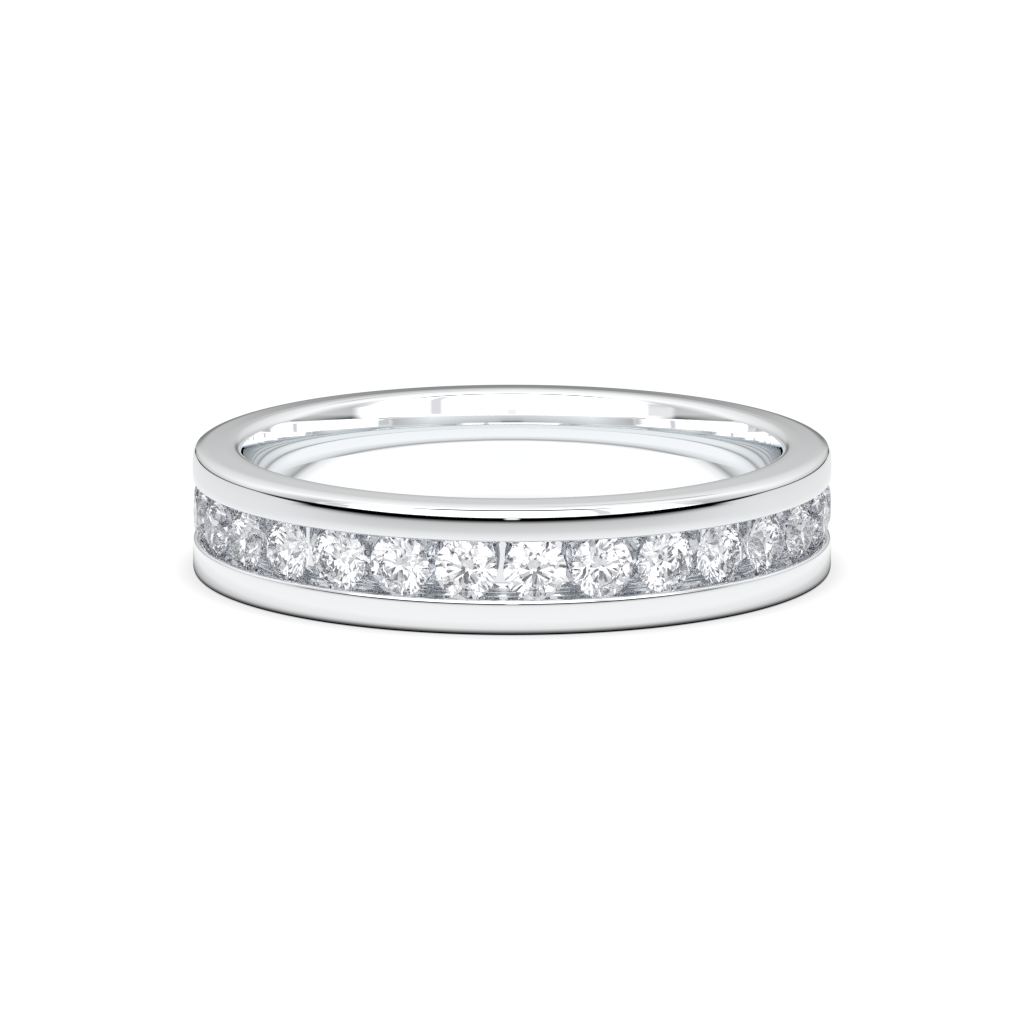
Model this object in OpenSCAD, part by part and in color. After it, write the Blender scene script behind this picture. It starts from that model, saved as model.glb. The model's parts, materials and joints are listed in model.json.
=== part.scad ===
// Channel set band: a full circle of round brilliants held between two plain rails.
// The ring lies on its side, its axis is +Z and its lower side face is at z = 0.
// All sizes are in millimetres and all angles in degrees.

/* [Finger hole] */
// Diameter of the finger hole at the middle of the band
finger_d = 16.7; // [14:0.1:22]
// Width of the straight part in the middle of the hole
land_w = 0.6; // [0.4:0.1:1.2]
// Radius of the comfort curve that opens the hole towards both side faces
comfort_r = 8; // [6:0.5:20]
// Rounding of the edge between the hole and a side face
inner_edge_r = 0.3; // [0.1:0.05:0.4]

/* [Rails] */
// Width of each plain rail, from its side face to the channel
rail_w = 1.1; // [0.9:0.01:2]
// Rounding of the edge between a rail and its side face
outer_edge_r = 0.3; // [0.2:0.02:0.6]
// Rounding of the rail's edge along the channel
lip_r = 0.1; // [0.05:0.01:0.15]

/* [Channel] */
// Metal between the finger hole and the floor of the channel
floor_t = 0.41; // [0.3:0.01:1]
// Rounding of the two corners in the bottom of the channel
channel_corner_r = 0.3; // [0.1:0.05:0.5]
// How far each rail covers the edge of a stone
lip_cover = 0.06; // [0.02:0.01:0.08]
// Clearance between a stone's edge and the groove that holds it
seat_clear = 0.02; // [0.01:0.01:0.04]
// Gap between a stone's point and the floor of the channel
culet_gap = 0.06; // [0.04:0.01:0.2]

/* [Stones] */
// Diameter of a stone
stone_d = 1.92; // [1.6:0.02:2.6]
// Smallest gap between two stones
stone_gap_min = 0.15; // [0.1:0.01:0.3]
// Depth of a stone's table below the rails' outer faces
table_depth = 0.03; // [0:0.01:0.06]
// Direction of the first stone, from +X towards +Y
first_stone_angle = -85.9; // [-180:0.1:180]
// Turn of a stone about its own axis
stone_turn = 0; // [0:0.5:45]

/* [Cut of the stones] */
// Width of the table, as a share of the stone's diameter
table_share = 0.56; // [0.5:0.01:0.65]
// Slope of the crown's main facets
crown_angle = 34.5; // [30:0.5:38]
// Slope of the pavilion's main facets
pavilion_angle = 40.8; // [38:0.2:43]
// Thickness of the girdle, as a share of the stone's diameter
girdle_share = 0.03; // [0.02:0.005:0.05]
// Reach of the star facets from the table to the girdle, as a share
star_share = 0.5; // [0.4:0.05:0.6]
// Reach of the lower halves from the girdle to the point, as a share
lower_half_share = 0.77; // [0.7:0.01:0.85]

/* [Hidden] */
eps = 0.01;
ring_fn = 180;
arc_fn = 96;

// The stone, seen along its own axis, which is +Z with its girdle at z = 0
mains = 8;
main_step = 360 / mains;
half_step = main_step / 2;
girdle_sides = 4 * mains;
girdle_step = 360 / girdle_sides;
stone_r = stone_d / 2;
table_r = stone_r * table_share;
girdle_t = stone_d * girdle_share;
crown_h = (stone_r - table_r) * tan(crown_angle);
pavilion_h = stone_r * tan(pavilion_angle);
table_z = girdle_t / 2 + crown_h;
culet_z = -girdle_t / 2 - pavilion_h;
table_flat_r = table_r * cos(half_step);
star_r = table_flat_r + star_share * (stone_r - table_flat_r);
star_z = table_z - (star_r * cos(half_step) - table_r) * tan(crown_angle);
lower_r = stone_r * (1 - lower_half_share);
lower_z = culet_z + lower_r * cos(half_step) * tan(pavilion_angle);

// The ring's section, from the hole outwards
hole_r = finger_d / 2;
floor_r = hole_r + floor_t;
girdle_r = floor_r + culet_gap - culet_z;
ring_r = girdle_r + table_z + table_depth;
channel_w = stone_d - 2 * lip_cover;
band_w = channel_w + 2 * rail_w;
mid_z = band_w / 2;
groove_depth = lip_cover + seat_clear;
groove_bottom_w = girdle_t + 2 * seat_clear;
groove_mouth_w = groove_bottom_w + 2 * groove_depth;

// The comfort curve is tangent to the hole's straight part and to the rounded inner edge
comfort_reach = mid_z - land_w / 2 - inner_edge_r;
comfort_center_r = hole_r + comfort_r;
inner_edge_center_r = comfort_center_r - sqrt(pow(comfort_r - inner_edge_r, 2) - pow(comfort_reach, 2));
comfort_end_angle = asin(comfort_reach / (comfort_r - inner_edge_r));
comfort_end = land_w / 2 + comfort_r * sin(comfort_end_angle);

// As many stones as fit round the channel with the smallest gap between them
stone_pitch_min = 2 * asin((stone_r + stone_gap_min / 2) / girdle_r);
stone_count = floor(360 / stone_pitch_min);
stone_pitch = 360 / stone_count;

function stone_name(i) = str("stone_", i < 10 ? "0" : "", i);

// A right corner of the section, cut round: the metal is on the side of -X and -Y
module corner_cut(r) {
    difference() {
        translate([-r, -r]) square([r + eps, r + eps]);
        translate([-r, -r]) circle(r = r, $fn = arc_fn);
    }
}

// Upper half of what opens the hole towards a side face, measured from the middle of the band
module comfort_cut() {
    difference() {
        translate([hole_r - eps, land_w / 2])
            square([inner_edge_center_r - hole_r + eps, comfort_end - land_w / 2]);
        translate([comfort_center_r, land_w / 2]) circle(r = comfort_r, $fn = 4 * arc_fn);
    }
    difference() {
        translate([hole_r - eps, comfort_end])
            square([inner_edge_center_r - hole_r + eps, mid_z - comfort_end + eps]);
        translate([inner_edge_center_r, mid_z - inner_edge_r]) circle(r = inner_edge_r, $fn = arc_fn);
    }
}

// Upper half of the channel, its groove for the girdles and its rounded lip
module channel_cut() {
    corner_z = channel_w / 2 - channel_corner_r;
    translate([floor_r, -eps]) square([ring_r, corner_z + eps]);
    translate([floor_r + channel_corner_r, -eps]) square([ring_r, channel_w / 2 + eps]);
    translate([floor_r + channel_corner_r, corner_z]) circle(r = channel_corner_r, $fn = arc_fn);
    translate([girdle_r, channel_w / 2 - eps])
        polygon([
            [-groove_mouth_w / 2 - eps, 0],
            [groove_mouth_w / 2 + eps, 0],
            [groove_bottom_w / 2, groove_depth + eps],
            [-groove_bottom_w / 2, groove_depth + eps]
        ]);
    translate([ring_r, channel_w / 2]) mirror([0, 1]) corner_cut(lip_r);
}

// Section of the band on the XY plane: X is the distance from the axis, Y the height from the middle
module band_section() {
    difference() {
        translate([hole_r, -mid_z]) square([ring_r - hole_r, band_w]);
        for (side = [0, 1]) mirror([0, side]) {
            comfort_cut();
            channel_cut();
            translate([ring_r, mid_z]) corner_cut(outer_edge_r);
        }
    }
}

// The metal ring
module band() {
    color([0.80, 0.81, 0.83])
        translate([0, 0, mid_z])
            rotate_extrude($fn = ring_fn) band_section();
}

function at(r, angle, z) = [r * cos(angle), r * sin(angle), z];

// Height, at the point p of the XY plane, of the plane through a, b and c
function plane_z(a, b, c, p) =
    let (n = cross(b - a, c - a))
    a.z - (n.x * (p.x - a.x) + n.y * (p.y - a.y)) / n.z;

// Corner j of the girdle's edge. Every second one lies between two facets' corners, on the plane of
// the facet that reaches from there to the tip, so the edge of the girdle is scalloped.
function girdle_corner(j, tip_r, tip_z, edge_z) =
    let (
        facet = floor(j / 2),
        from = facet * half_step,
        to = from + half_step,
        tip = at(tip_r, facet % 2 == 0 ? to : from, tip_z),
        corner = at(stone_r, j * girdle_step, edge_z)
    )
    j % 2 == 0 ? corner
        : [corner.x, corner.y, plane_z(tip, at(stone_r, from, edge_z), at(stone_r, to, edge_z), corner)];

// A round brilliant: a table, 8 stars, 8 crown mains, 16 upper halves,
// a faceted girdle, 16 lower halves and 8 pavilion mains
module brilliant() {
    sides = [0:girdle_sides - 1];
    mains_range = [0:mains - 1];
    table = [for (k = mains_range) at(table_r, k * main_step, table_z)];
    star = [for (k = mains_range) at(star_r, k * main_step + half_step, star_z)];
    upper = [for (j = sides) girdle_corner(j, star_r, star_z, girdle_t / 2)];
    lower = [for (j = sides) girdle_corner(j, lower_r, lower_z, -girdle_t / 2)];
    belly = [for (k = mains_range) at(lower_r, k * main_step + half_step, lower_z)];

    // Places of the corners in the list of points, counted round the stone
    function table_i(k) = k % mains;
    function star_i(k) = mains + (k + mains) % mains;
    function upper_i(j) = 2 * mains + j % girdle_sides;
    function lower_i(j) = upper_i(j) + girdle_sides;
    function belly_i(k) = 2 * mains + 2 * girdle_sides + (k + mains) % mains;
    culet_i = 3 * mains + 2 * girdle_sides;

    polyhedron(
        points = concat(table, star, upper, lower, belly, [[0, 0, culet_z]]),
        faces = concat(
            [[for (k = [mains - 1:-1:0]) table_i(k)]],
            [for (k = mains_range) [table_i(k), table_i(k + 1), star_i(k)]],
            [for (k = mains_range) [table_i(k), star_i(k), upper_i(4 * k), star_i(k - 1)]],
            [for (k = mains_range, j = [4 * k, 4 * k + 2])
                [star_i(k), upper_i(j + 2), upper_i(j + 1), upper_i(j)]],
            [for (j = sides) [upper_i(j), upper_i(j + 1), lower_i(j + 1), lower_i(j)]],
            [for (k = mains_range, j = [4 * k, 4 * k + 2])
                [belly_i(k), lower_i(j), lower_i(j + 1), lower_i(j + 2)]],
            [for (k = mains_range) [culet_i, belly_i(k - 1), lower_i(4 * k), belly_i(k)]]
        )
    );
}

// Stone i in its place: its table looks outwards and its girdle lies in the groove
module stone(i) {
    color([0.90, 0.95, 0.98])
        rotate([0, 0, first_stone_angle + (i - 1) * stone_pitch])
            translate([girdle_r, 0, mid_z])
                rotate([0, 90, 0])
                    rotate([0, 0, stone_turn])
                        brilliant();
}

band();
for (i = [1:stone_count])
    stone(i);
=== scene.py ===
"""A channel set band lying on its side on a pale studio floor.

The band is swept from its own section by Geometry Nodes. The stones are the model's own.
Sizes of the ring are in millimetres until a piece is built.
"""
import json
import math

import bpy
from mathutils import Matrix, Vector

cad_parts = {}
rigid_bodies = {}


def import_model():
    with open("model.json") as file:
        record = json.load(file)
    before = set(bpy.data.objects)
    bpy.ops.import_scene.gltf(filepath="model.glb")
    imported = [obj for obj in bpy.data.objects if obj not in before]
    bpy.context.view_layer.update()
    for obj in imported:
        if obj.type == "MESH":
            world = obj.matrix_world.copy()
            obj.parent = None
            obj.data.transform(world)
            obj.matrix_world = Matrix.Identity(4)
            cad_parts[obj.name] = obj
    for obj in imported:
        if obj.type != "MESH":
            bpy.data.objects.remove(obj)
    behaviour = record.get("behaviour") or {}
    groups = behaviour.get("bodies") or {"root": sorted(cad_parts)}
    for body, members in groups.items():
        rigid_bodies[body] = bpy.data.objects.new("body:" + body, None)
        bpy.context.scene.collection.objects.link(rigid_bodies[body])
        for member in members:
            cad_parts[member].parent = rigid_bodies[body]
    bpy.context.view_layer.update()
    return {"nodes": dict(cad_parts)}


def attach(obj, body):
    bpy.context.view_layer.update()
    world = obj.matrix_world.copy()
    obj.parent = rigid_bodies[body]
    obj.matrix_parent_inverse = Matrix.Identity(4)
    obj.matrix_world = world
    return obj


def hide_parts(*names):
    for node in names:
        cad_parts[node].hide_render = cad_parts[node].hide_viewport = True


MM = 0.001

# Sizes of the ring, the same as the model's
FINGER_D = 16.7
LAND_W = 0.6
COMFORT_R = 8.0
RAIL_W = 1.1
FLOOR_T = 0.41
CHANNEL_CORNER_R = 0.3
LIP_COVER = 0.06
SEAT_CLEAR = 0.02
CULET_GAP = 0.06
TABLE_DEPTH = 0.03
STONE_D = 1.92
TABLE_SHARE = 0.56
CROWN_ANGLE = math.radians(34.5)
PAVILION_ANGLE = math.radians(40.8)
GIRDLE_SHARE = 0.03

# What follows from them
STONE_R = STONE_D / 2
GIRDLE_T = STONE_D * GIRDLE_SHARE
CROWN_H = STONE_R * (1 - TABLE_SHARE) * math.tan(CROWN_ANGLE)
PAVILION_H = STONE_R * math.tan(PAVILION_ANGLE)
HOLE_R = FINGER_D / 2
FLOOR_R = HOLE_R + FLOOR_T
GIRDLE_R = FLOOR_R + CULET_GAP + PAVILION_H + GIRDLE_T / 2
RING_R = GIRDLE_R + GIRDLE_T / 2 + CROWN_H + TABLE_DEPTH
HALF_CHANNEL = STONE_R - LIP_COVER
MID_Z = HALF_CHANNEL + RAIL_W
GROOVE_DEPTH = LIP_COVER + SEAT_CLEAR
GROOVE_BOTTOM_W = GIRDLE_T + 2 * SEAT_CLEAR
GROOVE_MOUTH_W = GROOVE_BOTTOM_W + 2 * GROOVE_DEPTH

# The way that the metal's surface faces, as a tilt in degrees, on the section's upper half
FACING_CHANNEL = -90
FACING_OUT = 0
FACING_SIDE = 90
FACING_HOLE = 180

# Polishing has rounded the rails' edges with a radius that changes on the way round the edge.
# Each run of arcs goes on from the one before it, as pairs of radius and turn in degrees.
UPPER_LIP = ((0.1, 86),)
UPPER_EDGE = (
    (2.0, 3.2), (2.6, 2.8), (0.47, 10), (0.38, 8), (0.13, 10), (0.5, 6), (0.12, 18), (0.46, 15),
    (0.9, 13),
)
LOWER_LIP = ((0.1, 82), (1.0, 4), (1.5, 4))
LOWER_EDGE = ((0.6, 4), (0.35, 8), (0.16, 18), (0.12, 30), (0.2, 30))
# The upper rail's outer face bulges a little, from one tilt to the other
UPPER_BULGE = (-4.0, 2.0)
# Its side face rises from the outer edge to the hole, and ends a little above the solid's
UPPER_SLOPE = 2.0
UPPER_RISE = 0.02
# Towards the hole the upper side face turns over gently before its rounded inner edge
UPPER_TURN = ((5.0, 3),)
UPPER_INNER_R = 0.3
LOWER_INNER_R = 0.15

# How finely the band is drawn: steps round the ring, and degrees for a step along an arc
ROUND_STEPS = 480
ARC_STEP = 4.0
CORNER_STEP = 9.0
FLAT_MARGIN = 0.004

# The camera looks along +Y and down on the ring, and the ring's middle lies a little over its aim
CAMERA_ELEVATION = math.radians(11.702)
CAMERA_DISTANCE = 0.2935
CAMERA_LENS = 328.37
SENSOR_W = 36.0
AIM_DROP = 0.215 * MM
CLIP_START = 0.01
CLIP_END = 2.0

# How often light may bounce
METAL_BOUNCES = 16
STONE_BOUNCES = 32


def add_object(name, data):
    """A new object in the scene."""
    added = bpy.data.objects.new(name, data)
    bpy.context.scene.collection.objects.link(added)
    return added


def trace(start, tilt, arcs, step=ARC_STEP):
    """Points along a run of arcs, from a start where the surface faces the way of the tilt."""
    points = [start]
    r, z = start
    for radius, turn in arcs:
        steps = max(1, math.ceil(abs(turn) / step))
        center_r = r - radius * math.cos(math.radians(tilt))
        center_z = z - radius * math.sin(math.radians(tilt))
        for i in range(1, steps + 1):
            angle = math.radians(tilt + turn * i / steps)
            r = center_r + radius * math.cos(angle)
            z = center_z + radius * math.sin(angle)
            points.append((r, z))
        tilt += turn
    return points


def with_margins(points, first_tilt, last_tilt):
    """A run of arcs with a short straight start and end, so that flats beside it shade flat."""
    first = math.radians(first_tilt)
    last = math.radians(last_tilt)
    r, z = points[0]
    before = (r + FLAT_MARGIN * math.sin(first), z - FLAT_MARGIN * math.cos(first))
    r, z = points[-1]
    after = (r - FLAT_MARGIN * math.sin(last), z + FLAT_MARGIN * math.cos(last))
    return [before] + points + [after]


def inner_side(edge_r, top, slope, turn_over=()):
    """From a side face over the rounded inner edge and the comfort curve to the hole's middle."""
    edge_z = top - edge_r
    reach = (edge_z - LAND_W / 2) / (COMFORT_R - edge_r)
    edge_center_r = HOLE_R + COMFORT_R - (COMFORT_R - edge_r) * math.sqrt(1 - reach * reach)
    tilt = FACING_SIDE - slope
    edge_tilt = tilt + sum(turn for _, turn in turn_over)
    comfort_tilt = FACING_HOLE - math.degrees(math.asin(reach))
    moved_r, moved_z = trace((0, 0), tilt, turn_over)[-1]
    start = (
        edge_center_r + edge_r * math.cos(math.radians(edge_tilt)) - moved_r,
        edge_z + edge_r * math.sin(math.radians(edge_tilt)) - moved_z,
    )
    edge = (edge_r, comfort_tilt - edge_tilt)
    comfort_curve = (COMFORT_R, FACING_HOLE - comfort_tilt)
    points = trace(start, tilt, turn_over + (edge, comfort_curve))
    return with_margins(points, tilt, FACING_HOLE)


def upper_rail(inner_start):
    """From the channel's wall over the lip, the bulging face and the outer edge to the side face."""
    low_tilt, high_tilt = UPPER_BULGE
    low = math.radians(low_tilt)
    high = math.radians(high_tilt)
    lip_r, lip_z = trace((0, 0), FACING_CHANNEL, UPPER_LIP)[-1]
    edge_r, edge_z = trace((0, 0), high_tilt, UPPER_EDGE)[-1]
    # The bulge's radius makes the outer edge end on the line of the sloping side face
    fall = math.tan(math.radians(UPPER_SLOPE))
    side_z = inner_start[1] - fall * (RING_R + edge_r - inner_start[0])
    bulge_z = side_z - HALF_CHANNEL - lip_z - edge_z
    bulge_r = bulge_z / (math.sin(high) - math.sin(low) - fall * (1 - math.cos(high)))
    start = (RING_R - bulge_r * (1 - math.cos(low)) - lip_r, HALF_CHANNEL)
    bulge = (bulge_r, high_tilt - low_tilt)
    points = trace(start, FACING_CHANNEL, UPPER_LIP + (bulge,) + UPPER_EDGE)
    return with_margins(points, FACING_CHANNEL, FACING_SIDE - UPPER_SLOPE)


def lower_rail():
    """The lower rail with its straight outer face, drawn as if it were the upper one."""
    lip_r = trace((0, 0), FACING_CHANNEL, LOWER_LIP)[-1][0]
    lip = trace((RING_R - lip_r, HALF_CHANNEL), FACING_CHANNEL, LOWER_LIP)
    edge_z = trace((0, 0), FACING_OUT, LOWER_EDGE)[-1][1]
    edge = trace((RING_R, MID_Z - edge_z), FACING_OUT, LOWER_EDGE)
    return with_margins(lip, FACING_CHANNEL, FACING_OUT) + with_margins(edge, FACING_OUT, FACING_SIDE)


def channel_half():
    """From the channel's floor over its rounded corner and past the groove for the stones."""
    corner = ((-CHANNEL_CORNER_R, FACING_CHANNEL - FACING_OUT),)
    corner_start = (FLOOR_R, HALF_CHANNEL - CHANNEL_CORNER_R)
    points = [(FLOOR_R, FLAT_MARGIN)]
    points += trace(corner_start, FACING_OUT, corner, CORNER_STEP)
    points += [
        (GIRDLE_R - GROOVE_MOUTH_W / 2, HALF_CHANNEL),
        (GIRDLE_R - GROOVE_BOTTOM_W / 2, HALF_CHANNEL + GROOVE_DEPTH),
        (GIRDLE_R + GROOVE_BOTTOM_W / 2, HALF_CHANNEL + GROOVE_DEPTH),
        (GIRDLE_R + GROOVE_MOUTH_W / 2, HALF_CHANNEL),
    ]
    return points


def whole_section():
    """The closed section of the band, as distance from the axis and height from the middle."""
    upper_inside = inner_side(UPPER_INNER_R, MID_Z + UPPER_RISE, UPPER_SLOPE, UPPER_TURN)
    upper = channel_half() + upper_rail(upper_inside[1]) + upper_inside
    lower = channel_half() + lower_rail() + inner_side(LOWER_INNER_R, MID_Z, 0)
    return upper + [(r, -z) for r, z in reversed(lower)]


def section_object():
    """The section as a closed line, measured from the sweep's path on the finger hole's wall."""
    # The sweep turns the section upside down, so it is drawn upside down and in reverse
    points = [((r - HOLE_R) * MM, -z * MM, 0) for r, z in reversed(whole_section())]
    edges = [(i, (i + 1) % len(points)) for i in range(len(points))]
    mesh = bpy.data.meshes.new("band_section")
    mesh.from_pydata(points, edges, [])
    return add_object("polished_band", mesh)


def sweep_tree(material):
    """A tree that sweeps the section it is given round the ring's axis."""
    tree = bpy.data.node_groups.new("ring_sweep", "GeometryNodeTree")
    for name, direction, kind in (
        ("Section", "INPUT", "NodeSocketGeometry"),
        ("Path radius", "INPUT", "NodeSocketFloat"),
        ("Steps round", "INPUT", "NodeSocketInt"),
        ("Height of the middle", "INPUT", "NodeSocketFloat"),
        ("Ring", "OUTPUT", "NodeSocketGeometry"),
    ):
        tree.interface.new_socket(name, in_out=direction, socket_type=kind)
    nodes = tree.nodes
    inputs = nodes.new("NodeGroupInput")
    outputs = nodes.new("NodeGroupOutput")
    to_line = nodes.new("GeometryNodeMeshToCurve")
    path = nodes.new("GeometryNodeCurvePrimitiveCircle")
    upright = nodes.new("GeometryNodeSetCurveNormal")
    upright.mode = "Z_UP"
    sweep = nodes.new("GeometryNodeCurveToMesh")
    offset = nodes.new("ShaderNodeCombineXYZ")
    lift = nodes.new("GeometryNodeTransform")
    smooth = nodes.new("GeometryNodeSetShadeSmooth")
    realize = nodes.new("GeometryNodeRealizeInstances")
    finish = nodes.new("GeometryNodeSetMaterial")
    finish.inputs["Material"].default_value = material
    for source, output, target, socket in (
        (inputs, "Section", to_line, "Mesh"),
        (inputs, "Path radius", path, "Radius"),
        (inputs, "Steps round", path, "Resolution"),
        (path, "Curve", upright, "Curve"),
        (upright, "Curve", sweep, "Curve"),
        (to_line, "Curve", sweep, "Profile Curve"),
        (inputs, "Height of the middle", offset, "Z"),
        (sweep, "Mesh", lift, "Geometry"),
        (offset, "Vector", lift, "Translation"),
        (lift, "Geometry", smooth, "Geometry"),
        (smooth, "Geometry", realize, "Geometry"),
        (realize, "Geometry", finish, "Geometry"),
        (finish, "Geometry", outputs, "Ring"),
    ):
        tree.links.new(source.outputs[output], target.inputs[socket])
    return tree


def set_inputs(modifier, values):
    """Sets a Geometry Nodes modifier's inputs by the names they have in its tree."""
    for item in modifier.node_group.interface.items_tree:
        if item.in_out == "INPUT" and item.name in values:
            modifier[item.identifier] = values[item.name]


def plain_mesh(piece):
    """Turns what the piece's modifiers make into its own mesh, and takes the modifiers off."""
    depsgraph = bpy.context.evaluated_depsgraph_get()
    mesh = bpy.data.meshes.new_from_object(piece.evaluated_get(depsgraph))
    piece.modifiers.clear()
    piece.data = mesh
    return piece


def make_band(material):
    """The whole metal band as one smooth swept piece."""
    band = section_object()
    modifier = band.modifiers.new("sweep", "NODES")
    modifier.node_group = sweep_tree(material)
    sizes = {
        "Path radius": HOLE_R * MM,
        "Steps round": ROUND_STEPS,
        "Height of the middle": MID_Z * MM,
    }
    set_inputs(modifier, sizes)
    return plain_mesh(band)


class Wiring:
    """Short ways to add nodes to a shader tree."""

    def __init__(self, tree):
        self.nodes = tree.nodes
        self.links = tree.links

    def put(self, socket, value):
        """Gives a socket another node's output, or a plain value."""
        if isinstance(value, bpy.types.NodeSocket):
            self.links.new(value, socket)
        else:
            socket.default_value = value

    def calc(self, operation, first, second=0.0):
        """One step of arithmetic."""
        node = self.nodes.new("ShaderNodeMath")
        node.operation = operation
        self.put(node.inputs[0], first)
        self.put(node.inputs[1], second)
        return node.outputs[0]

    def in_degrees(self, angle):
        """An angle in degrees."""
        return self.calc("MULTIPLY", angle, math.degrees(1))

    def coordinates(self, kind):
        """The x, y and z of a place or a direction."""
        source = self.nodes.new("ShaderNodeTexCoord")
        split = self.nodes.new("ShaderNodeSeparateXYZ")
        self.put(split.inputs["Vector"], source.outputs[kind])
        return split.outputs

    def azimuth(self, x, y):
        """Degrees to the right from the direction of -Y, which is the front of the ring."""
        return self.in_degrees(self.calc("ARCTAN2", x, self.calc("MULTIPLY", y, -1.0)))

    def scale(self, value, low, high, new_low=0.0, new_high=1.0, kind="LINEAR"):
        """Carries low..high over to new_low..new_high, and holds the ends."""
        node = self.nodes.new("ShaderNodeMapRange")
        node.interpolation_type = kind
        self.put(node.inputs["Value"], value)
        for name, number in (
            ("From Min", low), ("From Max", high), ("To Min", new_low), ("To Max", new_high),
        ):
            node.inputs[name].default_value = number
        return node.outputs["Result"]

    def above(self, value, at, soft):
        """0 well below a place and 1 well above it."""
        return self.scale(value, at - soft, at + soft, kind="SMOOTHSTEP")

    def below(self, value, at, soft):
        """1 well below a place and 0 well above it."""
        return self.calc("SUBTRACT", 1.0, self.above(value, at, soft))

    def between(self, value, low, high, soft):
        """1 from low to high and 0 outside."""
        return self.calc("MULTIPLY", self.above(value, low, soft), self.below(value, high, soft))

    def profile(self, value, knots):
        """A brightness that changes in straight runs from knot to knot."""
        total = knots[0][1]
        for (low, start), (high, end) in zip(knots, knots[1:]):
            if end != start:
                total = self.calc("ADD", self.scale(value, low, high, 0.0, end - start), total)
        return total

    def blend(self, share, first, second):
        """The first where the share is 0, and the second where it is 1."""
        node = self.nodes.new("ShaderNodeMix")
        node.data_type = "RGBA"
        self.put(node.inputs["Factor"], share)
        self.put(node.inputs["A"], first)
        self.put(node.inputs["B"], second)
        return node.outputs["Result"]

    def noise(self, scale):
        """Noise that is fixed to the ring."""
        place = self.nodes.new("ShaderNodeTexCoord")
        node = self.nodes.new("ShaderNodeTexNoise")
        self.links.new(place.outputs["Object"], node.inputs["Vector"])
        node.inputs["Scale"].default_value = scale
        return node.outputs["Fac"]

    def surface(self, shader):
        """Makes a shader the material's whole surface."""
        output = self.nodes.new("ShaderNodeOutputMaterial")
        self.links.new(shader.outputs[0], output.inputs["Surface"])


NO_TINT = (1, 1, 1)


def gray(light, tint=NO_TINT):
    """A brightness as a colour."""
    return tuple(light * part for part in tint) + (1,)


def empty_material(name):
    """A material without nodes, and the short ways to add them."""
    material = bpy.data.materials.new(name)
    material.use_nodes = True
    material.node_tree.nodes.clear()
    return material, Wiring(material.node_tree)


# White gold under a mirror polish: cloudy rhodium plating and the faint waviness of hand polishing
GOLD_TINT = (0.885, 0.899, 0.909, 1)
POLISH = (0.012, 0.03)
PLATING_CLOUD_SCALE = 420.0
PLATING_CLOUD_RANGE = (0.3, 0.7)
WAVE_SCALE = 900.0
WAVE_HEIGHT = 0.0004 * MM


def white_gold():
    """Polished white gold."""
    material, wire = empty_material("white_gold")
    metal = wire.nodes.new("ShaderNodeBsdfPrincipled")
    metal.inputs["Base Color"].default_value = GOLD_TINT
    metal.inputs["Metallic"].default_value = 1.0
    clouds = wire.noise(PLATING_CLOUD_SCALE)
    wire.put(metal.inputs["Roughness"], wire.scale(clouds, *PLATING_CLOUD_RANGE, *POLISH))
    bump = wire.nodes.new("ShaderNodeBump")
    bump.inputs["Distance"].default_value = WAVE_HEIGHT
    wire.put(bump.inputs["Height"], wire.noise(WAVE_SCALE))
    wire.put(metal.inputs["Normal"], bump.outputs["Normal"])
    wire.surface(metal)
    return material


# Every time that light meets a facet a little of it is lost, and faint clouds inside take some more
CLEAR_TINT = (0.948, 0.948, 0.954, 1)
CLOUD_TINT = (0.9, 0.905, 0.92, 1)
CLEAR_BENDING = 2.417
STONE_CLOUD_SCALE = 1400.0
STONE_CLOUD_RANGE = (0.45, 0.7)


def diamond():
    """Clear cut stone."""
    material, wire = empty_material("clear_stone")
    clouds = wire.scale(wire.noise(STONE_CLOUD_SCALE), *STONE_CLOUD_RANGE)
    glass = wire.nodes.new("ShaderNodeBsdfGlass")
    wire.put(glass.inputs["Color"], wire.blend(clouds, CLEAR_TINT, CLOUD_TINT))
    glass.inputs["Roughness"].default_value = 0.0
    glass.inputs["IOR"].default_value = CLEAR_BENDING
    wire.surface(glass)
    return material


# The round studio floor glows by itself. Its glow is given by the distance from the ring's axis in
# millimetres. As the floor is seen, it is white with a painted soft shadow of the ring round its foot.
STUDIO_FLOOR_R = 0.7
STUDIO_FLOOR_SIDES = 96
GLOW_SEEN = (
    (0, 1.05), (7.6, 1.05), (8.2, 0.9), (8.7, 0.5), (9.5, 0.0), (9.9, 0.5), (10.0, 0.84), (10.3, 0.92),
    (10.8, 1.05),
)
# As the metal mirrors it, its glow has painted shade close to the ring's two rims. Its light is a painted
# pool that fades away from the ring towards the camera's side, and only far away beside and behind the
# ring.
GLOW_NEAR = (
    (0, 1.12), (7, 1.16), (8, 0.9), (9, 0.1), (9.3, 0), (10, 0), (10.4, 0.55), (11, 0.88), (12, 1),
)
GLOW_TOWARD_CAMERA = ((18.5, 0.95), (23, 0.72), (34, 0.6), (42, 0.44), (50, 0.3), (85, 0.1), (300, 0))
GLOW_ASIDE = ((17, 0.95), (20, 0.87), (40, 0.83), (110, 0.8), (180, 0))
ASIDE_FROM = 35
ASIDE_TO = 88
# The far floor on the camera's side is painted dark in the metal's reflections up to this azimuth,
# and more so the farther it is
FAR_DARK_SIDE = 77
FAR_DARK_SOFT = 5
FAR_DARK_FROM = 42
FAR_DARK_TO = 100
FAR_DARK_LIGHT = 0.0


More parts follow.
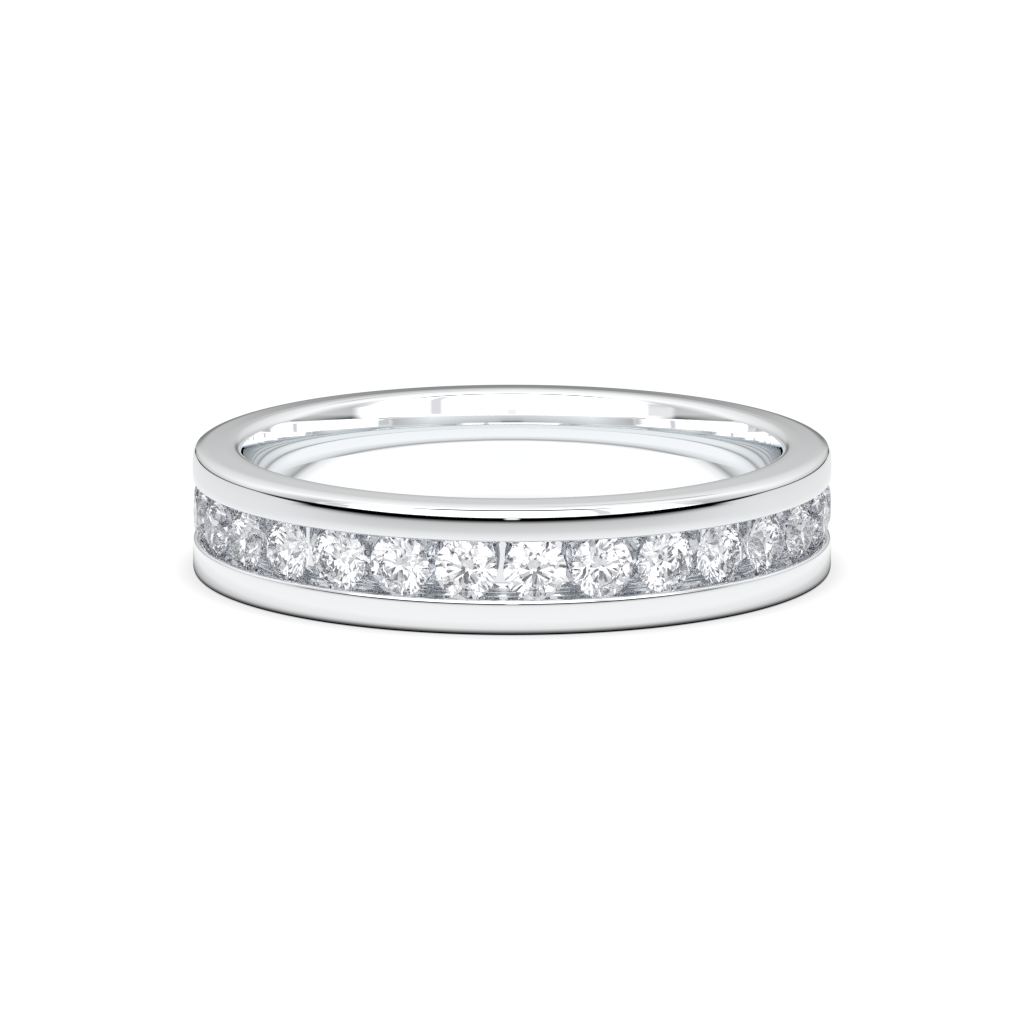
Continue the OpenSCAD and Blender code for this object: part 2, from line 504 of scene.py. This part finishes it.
def floor_painted_glow_and_shadow():
    """The studio floor's even glow, with a painted shadow round the ring and a painted pool of light in
    its reflections.
    """
    material, wire = empty_material("floor_painted_glow_and_shadow")
    x, y, _ = wire.coordinates("Object")
    squares = wire.calc("ADD", wire.calc("MULTIPLY", x, x), wire.calc("MULTIPLY", y, y))
    distance = wire.calc("DIVIDE", wire.calc("SQRT", squares), MM)
    aside = wire.calc("ABSOLUTE", wire.azimuth(x, y))
    # What the camera sees: an even white glow with a painted shadow round the ring
    seen = wire.profile(distance, GLOW_SEEN)
    # What the metal mirrors: painted shade by the rims and a painted pool of light that fades with
    # distance
    mirrored = wire.blend(
        wire.scale(aside, ASIDE_FROM, ASIDE_TO, kind="SMOOTHSTEP"),
        wire.profile(distance, GLOW_NEAR + GLOW_TOWARD_CAMERA),
        wire.profile(distance, GLOW_NEAR + GLOW_ASIDE),
    )
    # Painted darkness on the far floor towards the camera's side, seen only in reflections
    far = wire.calc(
        "MULTIPLY",
        wire.below(aside, FAR_DARK_SIDE, FAR_DARK_SOFT),
        wire.scale(distance, FAR_DARK_FROM, FAR_DARK_TO),
    )
    mirrored = wire.blend(far, mirrored, gray(FAR_DARK_LIGHT))
    # The camera sees the floor with its painted shadow, and every other ray sees the painted pool of
    # light
    ray = wire.nodes.new("ShaderNodeLightPath")
    glow = wire.nodes.new("ShaderNodeEmission")
    wire.put(glow.inputs["Color"], wire.blend(ray.outputs["Is Camera Ray"], mirrored, seen))
    wire.surface(glow)
    return material


def make_floor():
    """A round floor under the ring."""
    angles = [math.tau * i / STUDIO_FLOOR_SIDES for i in range(STUDIO_FLOOR_SIDES)]
    rim = [(STUDIO_FLOOR_R * math.cos(angle), STUDIO_FLOOR_R * math.sin(angle), 0) for angle in angles]
    mesh = bpy.data.meshes.new("studio_floor")
    mesh.from_pydata(rim, [], [tuple(range(STUDIO_FLOOR_SIDES))])
    mesh.materials.append(floor_painted_glow_and_shadow())
    return add_object("studio_floor", mesh)


# The studio round the ring, by direction in degrees. Azimuth 0 is the camera's side and elevation 0
# the horizon. Its walls are the same on the left and on the right. They are given at a few azimuths,
# from the camera's side to the back, as pairs of elevation and brightness.
STUDIO_WALLS = (
    (74, ((-90, 0.6), (-2, 0), (2.4, 0), (4, 0.6), (15, 0.56), (40, 0.7), (60, 1.2), (90, 1.25))),
    (109, ((-90, 0.6), (-2, 0.8), (-1, 0), (1.2, 0.1), (2.4, 0.72), (8, 0.88), (20, 1.05), (90, 1.2))),
    (138, ((-90, 0.6), (-2, 0.8), (-1, 0), (1, 0.1), (2.2, 0.62), (10, 0.76), (20, 0.9), (90, 1.1))),
    (168, ((-90, 0.6), (-2, 0.8), (-1, 0), (1, 0.1), (2.2, 0.4), (10, 0.68), (20, 0.8), (56, 1))),
    (173, ((-90, 0.6), (0, 0.2), (7, 0.28), (9.5, 0.52), (12, 0.62), (20, 0.77), (56, 1))),
)
# What stands before the walls, as azimuth from and to, elevation from and to, the softness of both,
# brightness and tint. A later one covers an earlier one.
STUDIO_PANELS = {
    "window": dict(wide=(-69, 69), high=(2.4, 120), soft=(5, 0.4), light=1.8),
    "left frame": dict(wide=(-74, -60), high=(2.5, 18), soft=(2, 1.2), light=0.9),
    "gap in the dark rim": dict(wide=(-2.3, 2.3), high=(-3, 6), soft=(1, 1.5), light=1.0),
    "lilac board": dict(wide=(30, 36), high=(2.8, 45), soft=(1.5, 1), light=0.84, tint=(0.97, 0.95, 1.0)),
    "line at the back": dict(wide=(150, 178), high=(46, 52), soft=(3, 1.5), light=0.5),
}
# A dark arch over the camera, by the angle from the direction of the camera's side. It ends above
# the horizon, is gray at its feet on both sides and almost black between them.
ARCH = (61.5, 71.5)
ARCH_SOFT = 1.5
ARCH_BOTTOM = 7.5
ARCH_BOTTOM_SOFT = 2.5
ARCH_FEET = dict(wide=(64, 84), soft=5, light=0.7)
ARCH_MIDDLE = dict(half=55, soft=14, light=0.05)


def light_studio():
    """The light that the ring reflects, as one surrounding."""
    world = bpy.data.worlds.new("studio")
    bpy.context.scene.world = world
    world.use_nodes = True
    tree = world.node_tree
    wire = Wiring(tree)
    x, y, z = wire.coordinates("Generated")
    elevation = wire.in_degrees(wire.calc("ARCSINE", z))
    azimuth = wire.azimuth(x, y)
    aside = wire.calc("ABSOLUTE", azimuth)
    lean = wire.in_degrees(wire.calc("ARCCOSINE", wire.calc("MULTIPLY", y, -1.0)))

    before, knots = STUDIO_WALLS[0]
    color = wire.profile(elevation, knots)
    for there, knots in STUDIO_WALLS[1:]:
        color = wire.blend(wire.scale(aside, before, there), color, wire.profile(elevation, knots))
        before = there

    for panel in STUDIO_PANELS.values():
        side_soft, top_soft = panel["soft"]
        share = wire.calc(
            "MULTIPLY",
            wire.between(azimuth, *panel["wide"], side_soft),
            wire.between(elevation, *panel["high"], top_soft),
        )
        color = wire.blend(share, color, gray(panel["light"], panel.get("tint", NO_TINT)))

    arch = wire.calc(
        "MULTIPLY",
        wire.between(lean, *ARCH, ARCH_SOFT),
        wire.above(elevation, ARCH_BOTTOM, ARCH_BOTTOM_SOFT),
    )
    feet = wire.calc("MULTIPLY", arch, wire.between(aside, *ARCH_FEET["wide"], ARCH_FEET["soft"]))
    middle = wire.calc("MULTIPLY", arch, wire.below(aside, ARCH_MIDDLE["half"], ARCH_MIDDLE["soft"]))
    color = wire.blend(feet, color, gray(ARCH_FEET["light"]))
    color = wire.blend(middle, color, gray(ARCH_MIDDLE["light"]))
    wire.put(tree.nodes["Background"].inputs["Color"], color)


def aim_camera():
    """The camera at the photograph's angle."""
    data = bpy.data.cameras.new("camera")
    data.lens = CAMERA_LENS
    data.sensor_width = SENSOR_W
    data.clip_start = CLIP_START
    data.clip_end = CLIP_END
    camera = add_object("camera", data)
    middle = Vector((0, 0, MID_Z * MM))
    back = Vector((0, -math.cos(CAMERA_ELEVATION), math.sin(CAMERA_ELEVATION)))
    up = Vector((0, math.sin(CAMERA_ELEVATION), math.cos(CAMERA_ELEVATION)))
    camera.location = middle + back * CAMERA_DISTANCE - up * AIM_DROP
    camera.rotation_euler = (-back).to_track_quat("-Z", "Y").to_euler()
    bpy.context.scene.camera = camera


def set_picture():
    """Colours straight from the light, and enough bounces for metal and stones."""
    scene = bpy.context.scene
    scene.view_settings.view_transform = "Standard"
    scene.view_settings.look = "None"
    scene.cycles.max_bounces = STONE_BOUNCES
    scene.cycles.glossy_bounces = METAL_BOUNCES
    scene.cycles.transmission_bounces = STONE_BOUNCES
    scene.cycles.sample_clamp_indirect = 0
    scene.cycles.blur_glossy = 0
    scene.cycles.caustics_reflective = True
    scene.cycles.caustics_refractive = True
    scene.cycles.use_denoising = True


for old in list(bpy.data.objects):
    bpy.data.objects.remove(old)

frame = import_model()

aim_camera()
set_picture()
light_studio()
make_floor()

band = make_band(white_gold())
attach(band, "root")
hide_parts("band")

stone_finish = diamond()
for name, node in frame["nodes"].items():
    if name.startswith("stone_"):
        node.data.materials.clear()
        node.data.materials.append(stone_finish)
